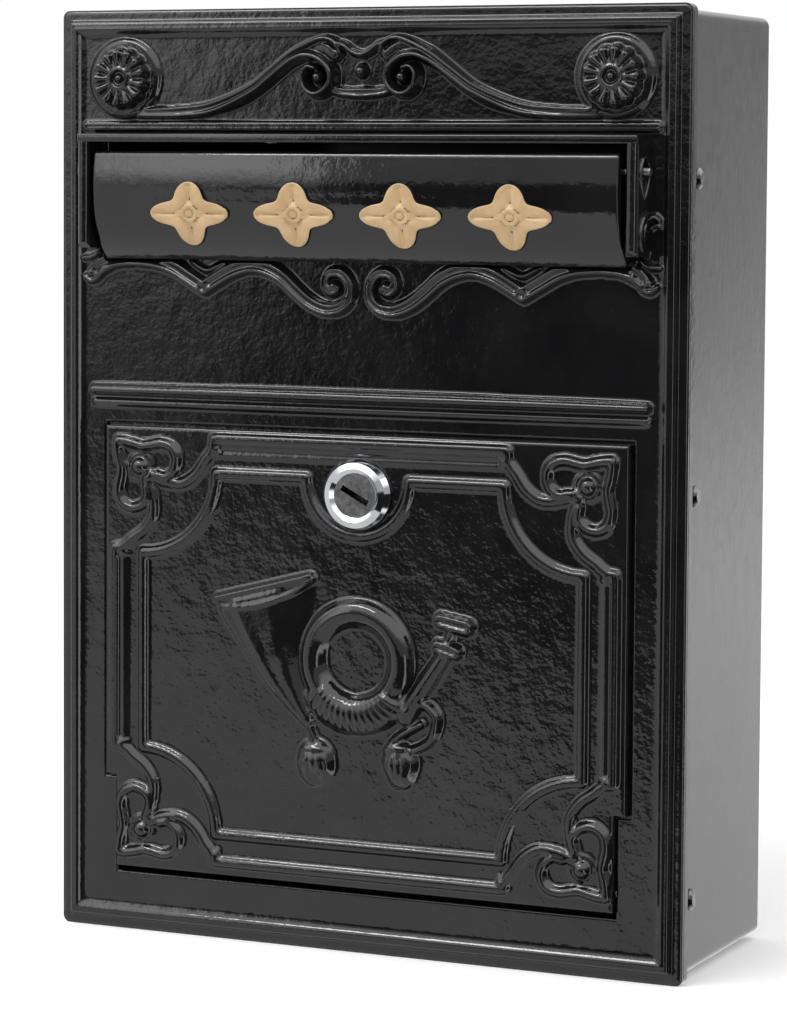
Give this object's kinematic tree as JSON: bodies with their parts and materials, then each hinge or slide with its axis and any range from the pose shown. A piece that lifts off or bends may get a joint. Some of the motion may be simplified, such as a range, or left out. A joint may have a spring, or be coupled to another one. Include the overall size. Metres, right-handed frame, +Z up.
{
  "type": "wall mounted post box",
  "caption": "Wall mounted post box in cast metal with a hinged letter flap under a hood, a bottom-hung door with a cam lock, raised scrollwork and a post horn.",
  "frame": {"origin": "centre of the four wall holes, on the back face of the casing", "axes": "+X to the right seen from the front, +Y into the wall, +Z up"},
  "size_m": [0.2754, 0.1166, 0.38],
  "materials": {
    "black_enamel": "gloss enamel over the grain of a sand casting",
    "sheet_enamel": "smooth gloss enamel on sheet",
    "chrome": "polished",
    "plated_steel": "zinc plated",
    "black_steel": "blackened screw heads"
  },
  "bodies": {
    "box": {"front_frame": "black_enamel", "casing": "sheet_enamel", "casing_screws": "black_steel", "flap_rod": "plated_steel", "rod_clips": "plated_steel", "hinge_pin_left": "plated_steel", "hinge_pin_right": "plated_steel"},
    "flap": {"letter_flap": "black_enamel"},
    "door": {"door": "black_enamel", "lock_barrel": "chrome", "lock_nut": "plated_steel"},
    "lock": {"lock_plug": "chrome", "lock_cam": "plated_steel", "cam_screw": "plated_steel", "cam_washer": "plated_steel"}
  },
  "joints": [
    {"name": "door_hinge", "type": "hinge", "parent": "box", "child": "door", "pos_m": [0, -0.096, -0.156], "axis": [1, 0, 0], "range_deg": [0, 100]},
    {"name": "flap_hinge", "type": "hinge", "parent": "box", "child": "flap", "pos_m": [0, -0.106, 0.1255], "axis": [1, 0, 0], "range_deg": [-80, 0]},
    {"name": "lock_turn", "type": "hinge", "parent": "door", "child": "lock", "pos_m": [0, -0.1, -0.004], "axis": [0, 1, 0], "range_deg": [-28, 62]}
  ]
}
